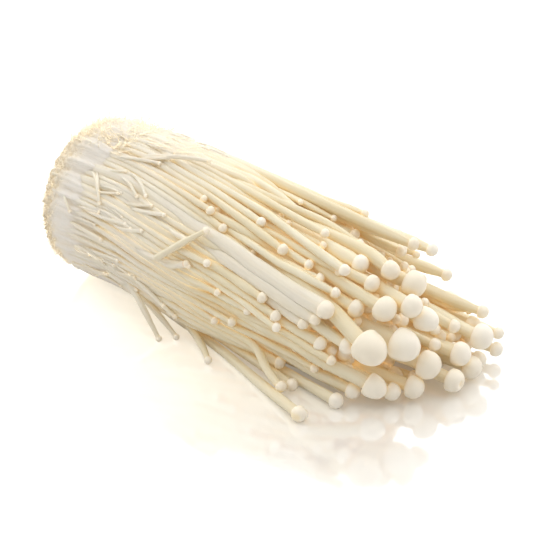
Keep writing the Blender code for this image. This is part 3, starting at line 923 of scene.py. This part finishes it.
def foot_side(x, turn, ray, stems, parting, phases):
    """One ring of the foot's side, where the outer stems stand out of the flesh as ribs."""
    at = max(x, 4.0)
    height = float(half_height(at))
    flesh = 0.985 - 0.065 * smooth(at, parting - 12.0, parting + 12.0) - 0.13 * smooth(at, 26.0, 44.0)
    matrix = flesh / np.sqrt((ray[:, 0] / HALF_WIDTH) ** 2 + (ray[:, 1] / height) ** 2)
    centres = stem_middles(stems, at) - [0.0, height]
    radii = np.array([float(stem_radius(m, np.array(at))) for m in stems])
    forward = centres @ ray.T
    aside = np.abs(centres[:, :1] * ray[None, :, 1] - centres[:, 1:] * ray[None, :, 0])
    cover = radii[:, None] + FLESH_OVER_STEMS
    hit = np.where(aside < cover, forward + np.sqrt(np.clip(cover ** 2 - aside ** 2, 0, None)), 0.0)
    relief = hit.max(axis=0) - 0.1 - 0.5 * (1.0 - smooth(at, 3.0, 12.0))
    relief -= smooth(at, parting, parting + 10.0) + 2.0 * smooth(at, 24.0, FOOT_END)
    high = np.maximum(matrix, relief)
    both = np.exp((matrix - high) / MELT) + np.exp((relief - high) / MELT)
    surface = high + MELT * (np.log(both) - 0.5)
    lumps = sum(0.22 / n * np.sin(n * turn * 2 + p + x / (6.0 + n)) for n, p in zip(range(1, 6), phases))
    edge = rim_share(x, turn) * (1.0 + shoulder(x, turn))
    crumbly = 1.0 - smooth(x, 2.5, 7.0 + 9.0 * np.clip(np.sin(turn), 0.0, 1.0))
    surface = (surface + lumps + crumbly * crumbs(turn, x)) * edge
    y, z = surface * ray[:, 0], height + surface * ray[:, 1]
    return np.stack([np.full_like(y, x), y, np.maximum(z, 0.05)], axis=-1)


def cut_face(rim, middle, turn, stems, phases):
    """Rings of the cut, from its middle out: a bit swollen, crumbly, with the marks of the stems."""
    marks = stem_middles(stems, 2.0) * [0.88, 1.0]
    face = []
    for share in np.linspace(0.04, 0.985, CUT_ROWS):
        ring = middle + (rim - middle) * share
        gap = np.linalg.norm(ring[:, None, 1:] - marks[None], axis=2).min(axis=1)
        bumps = 0.28 * np.exp(-(gap / 0.8) ** 2)
        rough = sum(0.10 * np.sin(ring[:, 1] * across + ring[:, 2] * up + phase)
                    for (across, up), phase in zip(CUT_WAVES, phases))
        swell = CUT_BULGE * (1.0 - share ** 2.4) ** 0.8
        ring[:, 0] = -swell - bumps * smooth(1.0 - share, 0.0, 0.08) + rough * 0.6
        ring[:, 0] += 0.7 * crumbs(turn, 9.0 * share) * smooth(share, 0.5, 0.95)
        face.append(ring)
    return face


def build_foot(bunch, rng, material, density):
    """The grown-together foot: stems melt into it, and its far end is cut flat."""
    turn = np.arange(FOOT_SIDES) * 2 * math.pi / FOOT_SIDES
    ray = np.stack([np.cos(turn), np.sin(turn)], axis=-1)
    stems = [m for m in bunch if not m.name.startswith(("loose", "splayed"))]
    phases = rng.uniform(0, 2 * math.pi, 12)
    uneven = sum(1.6 * np.sin(turn * n + p) for n, p in zip((3, 5, 8, 13, 21), phases[6:]))
    parting = 9.0 + 16.0 * low_side(np.degrees(turn)) + uneven  # x at which the stems part from each other
    side_x = np.append(np.linspace(0.0, 6.0, 13), np.arange(6.6, FOOT_END, 0.6))
    side = [foot_side(x, turn, ray, stems, parting, phases) for x in side_x]
    middle = np.array([0.0, 0.0, FOOT_HALF_HEIGHT])
    rings = np.array(cut_face(side[0], middle, turn, stems, phases) + side)
    values = {
        "fibre": np.stack([rings[..., 1] * 0.8, rings[..., 2] * 0.8, rings[..., 0]], axis=-1),
        "rise": smooth(rings[..., 0], 0.0, FRONT_X),
        "tone": np.full((len(rings), 1), 0.5),
        # mask for the painted shade and glow on the foot, where stems press in
        "gap_shade_and_glow": density.at(rings + 1.4 * unit(rings - [20.0, 0.0, FOOT_HALF_HEIGHT])),
        "cap_share": smooth(rings[..., 0], 0.5, 7.5 + 11.0 * np.clip(np.sin(turn), 0.0, 1.0)),
    }
    skin = Skin("foot", 1)
    face_middle = middle - [CUT_BULGE, 0.0, 0.0]
    inner_end = np.array([FOOT_END - 2.0, 0.0, float(half_height(FOOT_END))])
    skin.add(rings, face_middle, inner_end, np.zeros(len(rings), int), values)
    piece = skin.build(material)
    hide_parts("base_clump")


# ======================================================================== materials

STEM_ROOT_COLOUR = (0.865, 0.81, 0.705, 1)
STEM_FRONT_COLOUR = (0.86, 0.785, 0.58, 1)
STEM_PATCH_COLOUR = (0.90, 0.85, 0.70, 1)
STEM_STREAK_COLOUR = (0.85, 0.74, 0.50, 1)
DULL_TONE = (0.90, 0.83, 0.70, 1)  # multiplies the colour of the dullest mushroom
# painted shade: the warm, darker colour laid where the stems are packed
GAP_SHADE_COLOUR = (0.90, 0.74, 0.44, 1)
GAP_GLOW = 0.065  # light that comes through the flesh into the gaps
GAP_GLOW_COLOUR = (1.0, 0.84, 0.52, 1)
CAP_CROWN_COLOUR = (0.975, 0.90, 0.775, 1)
CAP_MARGIN_COLOUR = (0.99, 0.925, 0.79, 1)
CAP_UNDERSIDE_COLOUR = (0.93, 0.70, 0.42, 1)
CAP_PATCH_COLOUR = (0.97, 0.90, 0.76, 1)
FOOT_COLOUR = (0.90, 0.84, 0.75, 1)
FOOT_STREAK_COLOUR = (0.86, 0.76, 0.61, 1)
FOOT_PATCH_COLOUR = (0.91, 0.87, 0.81, 1)
CUT_COLOUR = (0.88, 0.79, 0.63, 1)
CUT_CRUMB_COLOUR = (0.82, 0.70, 0.51, 1)
THREAD_COLOUR = (0.92, 0.82, 0.63, 1)
THREAD_TIP_COLOUR = (0.93, 0.86, 0.71, 1)
BLACK = (0, 0, 0, 1)
FLESH_RADIUS = (1.0, 0.92, 0.80)  # red light sinks in furthest
FUZZ_RADIUS = (1.0, 1.0, 1.0)
BUMP_STRENGTH = 0.5


def put(tree, kind, values=None, **settings):
    """A node with its settings, and its inputs given as values or as other nodes' outputs."""
    node = tree.nodes.new(kind)
    for key, value in settings.items():
        setattr(node, key, value)
    for key, value in (values or {}).items():
        if isinstance(value, bpy.types.NodeSocket):
            tree.links.new(value, node.inputs[key])
        else:
            node.inputs[key].default_value = value
    return node


def blend(tree, amount, a, b, mode="MIX"):
    """Colour a turned into colour b by an amount."""
    node = put(tree, "ShaderNodeMix", {0: amount, 6: a, 7: b}, data_type="RGBA", blend_type=mode)
    return node.outputs[2]


def ramp(tree, value, low, high, to_low=0.0, to_high=1.0):
    """A value taken from one range to another, eased at both ends."""
    node = put(tree, "ShaderNodeMapRange", {0: value, 1: low, 2: high, 3: to_low, 4: to_high},
               interpolation_type="SMOOTHSTEP")
    return node.outputs[0]


def read(tree, name, output="Fac"):
    """A value that the skins carry."""
    return put(tree, "ShaderNodeAttribute", attribute_name=name).outputs[output]


def about_half(tree, value, spread):
    """A value's range that lies about one half, spread out from 0 to 1."""
    low = put(tree, "ShaderNodeMath", {0: 0.5, 1: spread}, operation="SUBTRACT")
    high = put(tree, "ShaderNodeMath", {0: 0.5, 1: spread}, operation="ADD")
    return ramp(tree, value, low.outputs[0], high.outputs[0])


def new_group(name, inputs, outputs):
    """An empty shader node group with its inputs and outputs named."""
    tree = bpy.data.node_groups.new(name, "ShaderNodeTree")
    for label, kind, default in inputs:
        socket = tree.interface.new_socket(label, in_out="INPUT", socket_type=kind)
        socket.default_value = default
    for label, kind in outputs:
        tree.interface.new_socket(label, in_out="OUTPUT", socket_type=kind)
    return tree, tree.nodes.new("NodeGroupInput").outputs, tree.nodes.new("NodeGroupOutput")


def streak_group():
    """Fine fibres that run along the stems."""
    tree, given, out = new_group(
        "flesh_streaks",
        [("Around", "NodeSocketFloat", 3.0), ("Along", "NodeSocketFloat", 0.05),
         ("Sharpness", "NodeSocketFloat", 0.3)],
        [("Streaks", "NodeSocketFloat")],
    )
    scale = put(tree, "ShaderNodeCombineXYZ", {0: given["Around"], 1: given["Around"], 2: given["Along"]})
    place = put(tree, "ShaderNodeVectorMath", {0: read(tree, "fibre", "Vector"), 1: scale.outputs[0]},
                operation="MULTIPLY")
    noise = put(tree, "ShaderNodeTexNoise", {"Vector": place.outputs[0], "Scale": 1.0, "Detail": 3.0,
                                             "Roughness": 0.6})
    tree.links.new(about_half(tree, noise.outputs["Fac"], given["Sharpness"]), out.inputs["Streaks"])
    return tree


def gap_shade_group():
    """Painted shade: a warmer, darker colour in the gaps between stems, and a tone that changes a little at
    random from one mushroom to the next.
    """
    tree, given, out = new_group(
        "gap_shade_and_tone",
        [("Color", "NodeSocketColor", (1, 1, 1, 1)), ("Gap Color", "NodeSocketColor", (1, 0.6, 0.3, 1)),
         ("Amount", "NodeSocketFloat", 0.5), ("Tone Spread", "NodeSocketFloat", 0.1)],
        [("Color", "NodeSocketColor")],
    )
    gap = put(tree, "ShaderNodeMath", {0: read(tree, "gap_shade_and_glow"), 1: given["Amount"]}, operation="MULTIPLY")
    warm = blend(tree, gap.outputs[0], given["Color"], given["Gap Color"])
    tone = put(tree, "ShaderNodeMath", {0: read(tree, "tone"), 1: given["Tone Spread"]}, operation="MULTIPLY")
    dull = blend(tree, 1.0, warm, DULL_TONE, "MULTIPLY")
    tree.links.new(blend(tree, tone.outputs[0], warm, dull), out.inputs["Color"])
    return tree


def mottle_group():
    """Soft patches of one size."""
    tree, given, out = new_group(
        "flesh_mottle",
        [("Patch Size", "NodeSocketFloat", 4.0), ("Contrast", "NodeSocketFloat", 0.2)],
        [("Patches", "NodeSocketFloat")],
    )
    place = put(tree, "ShaderNodeTexCoord").outputs["Object"]
    scale = put(tree, "ShaderNodeMath", {0: 1.0 / MM, 1: given["Patch Size"]}, operation="DIVIDE")
    noise = put(tree, "ShaderNodeTexNoise", {"Vector": place, "Scale": scale.outputs[0], "Detail": 3.0})
    tree.links.new(about_half(tree, noise.outputs["Fac"], given["Contrast"]), out.inputs["Patches"])
    return tree


def glow_group():
    """Light that comes through the flesh into the gaps."""
    tree, given, out = new_group(
        "gap_glow",
        [("Glow Color", "NodeSocketColor", GAP_GLOW_COLOUR)],
        [("Glow", "NodeSocketColor")],
    )
    tree.links.new(blend(tree, read(tree, "gap_shade_and_glow"), BLACK, given["Glow Color"]), out.inputs["Glow"])
    return tree


STREAKS, GAP_SHADE, MOTTLE, GLOW = streak_group(), gap_shade_group(), mottle_group(), glow_group()


def placed(tree, group, output, **values):
    """An output of a node group placed in a material with its own values."""
    node = put(tree, "ShaderNodeGroup", node_tree=group)
    for key, value in values.items():
        label = key.replace("_", " ").title()
        if isinstance(value, bpy.types.NodeSocket):
            tree.links.new(value, node.inputs[label])
        else:
            node.inputs[label].default_value = value
    return node.outputs[output]


def new_flesh(name, subsurface, depth, radius=FLESH_RADIUS):
    """A material with light that sinks into it."""
    material = bpy.data.materials.new(name)
    material.use_nodes = True
    tree = material.node_tree
    shader = tree.nodes["Principled BSDF"]
    shader.subsurface_method = "BURLEY"
    shader.inputs["Subsurface Weight"].default_value = subsurface
    shader.inputs["Subsurface Radius"].default_value = radius
    shader.inputs["Subsurface Scale"].default_value = depth * MM
    return material, tree, shader


def finish_flesh(tree, shader, colour, roughness, height, distance):
    """Colour, gloss and bumps of a flesh, and the glow in its gaps."""
    bumps = {"Strength": BUMP_STRENGTH, "Distance": distance * MM, "Height": height}
    bump = put(tree, "ShaderNodeBump", bumps)
    glow = placed(tree, GLOW, "Glow", glow_color=GAP_GLOW_COLOUR)
    tree.links.new(colour, shader.inputs["Base Color"])
    tree.links.new(roughness, shader.inputs["Roughness"])
    tree.links.new(bump.outputs[0], shader.inputs["Normal"])
    tree.links.new(glow, shader.inputs["Emission Color"])
    shader.inputs["Emission Strength"].default_value = GAP_GLOW


def stem_material():
    """Long streaks over a white that warms towards the caps."""
    material, tree, shader = new_flesh("stem_flesh", 1.0, 0.9)
    rise = read(tree, "rise")
    streaks = placed(tree, STREAKS, "Streaks", around=2.2, along=0.05, sharpness=0.28)
    fine = placed(tree, STREAKS, "Streaks", around=5.0, along=0.12, sharpness=0.25)
    patches = placed(tree, MOTTLE, "Patches", patch_size=9.0, contrast=0.2)
    flesh = blend(tree, ramp(tree, rise, 0.1, 0.6), STEM_ROOT_COLOUR, STEM_FRONT_COLOUR)
    flesh = blend(tree, ramp(tree, patches, 0.0, 1.0, 0.0, 0.35), flesh, STEM_PATCH_COLOUR)
    flesh = blend(tree, ramp(tree, streaks, 0.0, 1.0, 0.25, 0.0), flesh, STEM_STREAK_COLOUR)
    # painted shade in the gaps between stems, stronger towards the caps
    gap_shade_amount = ramp(tree, rise, 0.1, 0.6, 0.15, 0.8)
    spread = ramp(tree, rise, 0.05, 0.4, 0.25, 0.6)
    colour = placed(tree, GAP_SHADE, "Color", color=flesh, gap_color=GAP_SHADE_COLOUR, amount=gap_shade_amount,
                    tone_spread=spread)
    roughness = ramp(tree, fine, 0.0, 1.0, 0.38, 0.55)
    finish_flesh(tree, shader, colour, roughness, streaks, 0.12)
    return material


def cap_material():
    """Smooth moist skin, orange underneath where it meets the stem."""
    material, tree, shader = new_flesh("cap_skin", 1.0, 1.2)
    share = read(tree, "cap_share")
    patches = placed(tree, MOTTLE, "Patches", patch_size=2.5, contrast=0.25)
    skin = blend(tree, ramp(tree, share, 0.45, 0.95), CAP_MARGIN_COLOUR, CAP_CROWN_COLOUR)
    skin = blend(tree, ramp(tree, share, 0.10, 0.42), CAP_UNDERSIDE_COLOUR, skin)
    skin = blend(tree, ramp(tree, patches, 0.0, 1.0, 0.0, 0.25), skin, CAP_PATCH_COLOUR)
    # painted shade where the cap sits among packed stems
    colour = placed(tree, GAP_SHADE, "Color", color=skin, gap_color=GAP_SHADE_COLOUR, amount=0.6, tone_spread=0.5)
    roughness = ramp(tree, patches, 0.0, 1.0, 0.30, 0.42)
    finish_flesh(tree, shader, colour, roughness, patches, 0.05)
    return material


def thread_material():
    """Dull fuzz, paler in streaks."""
    material, tree, shader = new_flesh("foot_fuzz", 1.0, 0.5, FUZZ_RADIUS)
    streaks = placed(tree, STREAKS, "Streaks", around=2.0, along=0.5, sharpness=0.3)
    colour = blend(tree, streaks, THREAD_COLOUR, THREAD_TIP_COLOUR)
    roughness = ramp(tree, streaks, 0.0, 1.0, 0.6, 0.8)
    finish_flesh(tree, shader, colour, roughness, streaks, 0.02)
    return material


def foot_material():
    """Chalky flesh, tan and crumbly at the cut."""
    material, tree, shader = new_flesh("foot_flesh", 0.6, 0.6)
    share = read(tree, "cap_share")
    streaks = placed(tree, STREAKS, "Streaks", around=1.6, along=0.10, sharpness=0.25)
    patches = placed(tree, MOTTLE, "Patches", patch_size=3.0, contrast=0.2)
    crumbs = placed(tree, MOTTLE, "Patches", patch_size=0.9, contrast=0.12)
    flesh = blend(tree, ramp(tree, streaks, 0.0, 1.0, 0.35, 0.0), FOOT_COLOUR, FOOT_STREAK_COLOUR)
    flesh = blend(tree, ramp(tree, patches, 0.0, 1.0, 0.0, 0.4), flesh, FOOT_PATCH_COLOUR)
    cut = blend(tree, crumbs, CUT_COLOUR, CUT_CRUMB_COLOUR)
    flesh = blend(tree, ramp(tree, share, 0.0, 0.9), cut, flesh)
    # painted shade where the foot meets packed stems
    colour = placed(tree, GAP_SHADE, "Color", color=flesh, gap_color=GAP_SHADE_COLOUR, amount=0.4, tone_spread=0.0)
    roughness = ramp(tree, patches, 0.0, 1.0, 0.55, 0.75)
    finish_flesh(tree, shader, colour, roughness, streaks, 0.25)
    return material


# ======================================================================== table, light and camera

CAMERA_AZIMUTH = 36.5
CAMERA_HEIGHT = 28.0
CAMERA_DISTANCE = 425.0
CAMERA_LENS = 100.0
LOOK_AT_SHIFT = Vector((6.88, 2.47, -4.88))  # from the middle of the frame's box

ROOM_COLOUR = (1.0, 1.0, 1.0, 1)
ROOM_FRONT_LIGHT = 0.51
ROOM_BACK_LIGHT = 1.68
BACKLIGHT_HEIGHT = 35.0
LOW_LIGHTS = ((104.0, -12.0, 10.0), (111.0, -7.0, 10.0))
LOW_LIGHT_POWER = 0.0003
LOW_LIGHT_COLOUR = (1.0, 0.74, 0.42)
LOW_LIGHT_SIZE = 3.0
TABLE_SIZE = 4.0
TABLE_COLOUR = (0.93, 0.92, 0.90, 1)
TABLE_METALLIC = 0.4  # enough to mirror the bunch faintly
TABLE_GLOW = (0.60, 0.08)  # painted light that only the camera sees, which lightens the bunch's shadow: beside the foot, beside the caps
TABLE_GLOW_COLOUR = (1.0, 0.94, 0.82, 1)
LIGHT_BOUNCES = 10  # enough for light to reach deep between the stems


def view_direction(azimuth, height):
    """The way out from the bunch at an angle round it, 0 being towards -y, and an angle above the table."""
    a, e = math.radians(azimuth), math.radians(height)
    return Vector((math.sin(a) * math.cos(e), -math.cos(a) * math.cos(e), math.sin(e)))


def add_camera():
    """A long lens that looks down on the near side from the caps' end."""
    data = bpy.data.cameras.new("camera")
    data.lens = CAMERA_LENS
    data.sensor_width = 36.0
    data.clip_start = 0.01
    camera = bpy.data.objects.new("camera", data)
    back = view_direction(CAMERA_AZIMUTH, CAMERA_HEIGHT)
    target = (cad_box[0] + cad_box[1]) / 2 + LOOK_AT_SHIFT * MM
    camera.location = target + back * CAMERA_DISTANCE * MM
    camera.rotation_euler = back.to_track_quat("Z", "Y").to_euler()
    bpy.context.scene.collection.objects.link(camera)
    bpy.context.scene.camera = camera


def add_low_lights():
    """Warm light that comes through the flesh and out under the front heads."""
    for i, place in enumerate(LOW_LIGHTS, 1):
        data = bpy.data.lights.new(f"low_light_{i}", "POINT")
        data.energy = LOW_LIGHT_POWER
        data.color = LOW_LIGHT_COLOUR
        data.shadow_soft_size = LOW_LIGHT_SIZE * MM
        light = bpy.data.objects.new(f"low_light_{i}", data)
        light.location = (np.array(place) + ORIGIN) * MM
        light.visible_camera = False
        light.visible_glossy = False
        bpy.context.scene.collection.objects.link(light)


def add_table():
    """A glossy white table with painted light that only the camera sees, brightest beside the foot, where it
    lightens the bunch's shadow.
    """
    mesh = bpy.data.meshes.new("table")
    corners = [(x * TABLE_SIZE, y * TABLE_SIZE, 0) for x, y in ((-1, -1), (1, -1), (1, 1), (-1, 1))]
    mesh.from_pydata(corners, [], [(0, 1, 2, 3)])
    material = bpy.data.materials.new("white_table")
    material.use_nodes = True
    tree = material.node_tree
    shader = tree.nodes["Principled BSDF"]
    shader.inputs["Base Color"].default_value = TABLE_COLOUR
    shader.inputs["Metallic"].default_value = TABLE_METALLIC
    shader.inputs["Emission Strength"].default_value = 1.0
    seen = put(tree, "ShaderNodeLightPath").outputs["Is Camera Ray"]
    place = put(tree, "ShaderNodeTexCoord").outputs["Object"]
    along = put(tree, "ShaderNodeSeparateXYZ", {0: place}).outputs["X"]
    # painted light on the table, for camera rays only
    glow = ramp(tree, along, cad_box[0][0], cad_box[1][0], *TABLE_GLOW)
    lit = put(tree, "ShaderNodeMath", {0: seen, 1: glow}, operation="MULTIPLY").outputs[0]
    tree.links.new(blend(tree, lit, BLACK, TABLE_GLOW_COLOUR), shader.inputs["Emission Color"])
    patches = placed(tree, MOTTLE, "Patches", patch_size=60.0, contrast=0.3)
    tree.links.new(ramp(tree, patches, 0.0, 1.0, 0.07, 0.10), shader.inputs["Roughness"])
    mesh.materials.append(material)
    table = bpy.data.objects.new("table", mesh)
    bpy.context.scene.collection.objects.link(table)


def add_light():
    """A white room that is brightest behind the bunch."""
    world = bpy.data.worlds.new("white_room")
    world.use_nodes = True
    tree = world.node_tree
    place = put(tree, "ShaderNodeTexCoord").outputs["Generated"]
    behind = view_direction(CAMERA_AZIMUTH + 180.0, BACKLIGHT_HEIGHT)
    facing = put(tree, "ShaderNodeVectorMath", {0: place, 1: behind}, operation="DOT_PRODUCT")
    strength = ramp(tree, facing.outputs["Value"], -0.6, 1.0, ROOM_FRONT_LIGHT, ROOM_BACK_LIGHT)
    background = tree.nodes["Background"]
    background.inputs["Color"].default_value = ROOM_COLOUR
    tree.links.new(strength, background.inputs["Strength"])
    bpy.context.scene.world = world
    bpy.context.scene.view_settings.view_transform = "Standard"
    bpy.context.scene.cycles.diffuse_bounces = LIGHT_BOUNCES


# ======================================================================== the bunch

# how some of the mushrooms that the frame holds differ from the usual
RIBBON = {"wide": 1.5, "flat": 0.9, "pale": 0.8}
SPECIAL = {
    "front_mushroom_01": {"crown": 1.12},
    "front_mushroom_02": {"crown": 1.2},
    "front_mushroom_06": {"crown": 0.75, "dimple": 0.14},
    "front_mushroom_07": {"crown": 0.7},
    "front_mushroom_08": {"crown": 1.15, "thick": 1.2},
    "front_mushroom_09": {"thick": 1.2},
    "front_mushroom_11": {"crown": 1.25},
    "front_mushroom_14": {"crown": 1.2},
    "front_mushroom_18": {"crown": 0.8, "dimple": 0.45},
    "front_mushroom_22": {"thick": 1.4},
    **{f"top_mushroom_{i}": {"thick": 1.4} for i in range(1, 5)},
    **{f"ribbon_mushroom_{i}": RIBBON for i in range(1, 4)},
}


def random_sprout(rng):
    """A sprout somewhere on the near side or the top of the foot."""
    x, angle = rng.uniform(8.0, 26.0), rng.uniform(60.0, 215.0)
    length = rng.uniform(*RANDOM_SPROUT_LENGTHS)
    width = np.interp(length, RANDOM_SPROUT_LENGTHS, RANDOM_SPROUT_WIDTHS) * rng.uniform(0.9, 1.2)
    end_angle, bend = angle + rng.normal(0.5, 2.5), rng.normal(0.0, 2.5)
    return sprout(rng, x, angle, x + length, end_angle, bend, rng.uniform(0.0, 0.5), width)


def build_bunch():
    """Lay out every mushroom, let them settle, and give them and the foot their skins."""
    rng = np.random.default_rng(SEED)
    nodes = [node for node in sorted(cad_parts) if node != "base_clump"]
    alone = [cad_mushroom(node, **SPECIAL.get(node, {})) for node in nodes]
    between = crowd(rng, alone)
    bunch = settle(alone + between)
    sprouts = [sprout(rng, *row) for row in SPROUTS] + [random_sprout(rng) for _ in range(RANDOM_SPROUTS)]
    density = Density(bunch)
    stem_flesh, cap_skin = stem_material(), cap_material()
    for m in alone:
        skin = Skin(m.name + "_skin", 1)
        add_mushroom(skin, m, rng, *CAD_RINGS, density)
        piece = skin.build(stem_flesh, cap_skin)
        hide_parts(m.name)
    for number, first in enumerate(range(0, len(between), PIECE_SIZE), 1):
        part = between[first:first + PIECE_SIZE]
        skin = Skin(f"crowd_{number}", len(part))
        for m in part:
            add_mushroom(skin, m, rng, *(FINE_RINGS if m.fine else INNER_RINGS), density)
        skin.build(stem_flesh, cap_skin)
    skin = Skin("sprouts", len(sprouts))
    for m in sprouts:
        add_mushroom(skin, m, rng, *SPROUT_RINGS, density)
    skin.build(stem_flesh, cap_skin)
    build_foot(bunch, rng, foot_material(), density)
    build_threads(rng, thread_material())


add_camera()
add_table()
add_light()
add_low_lights()
build_bunch()
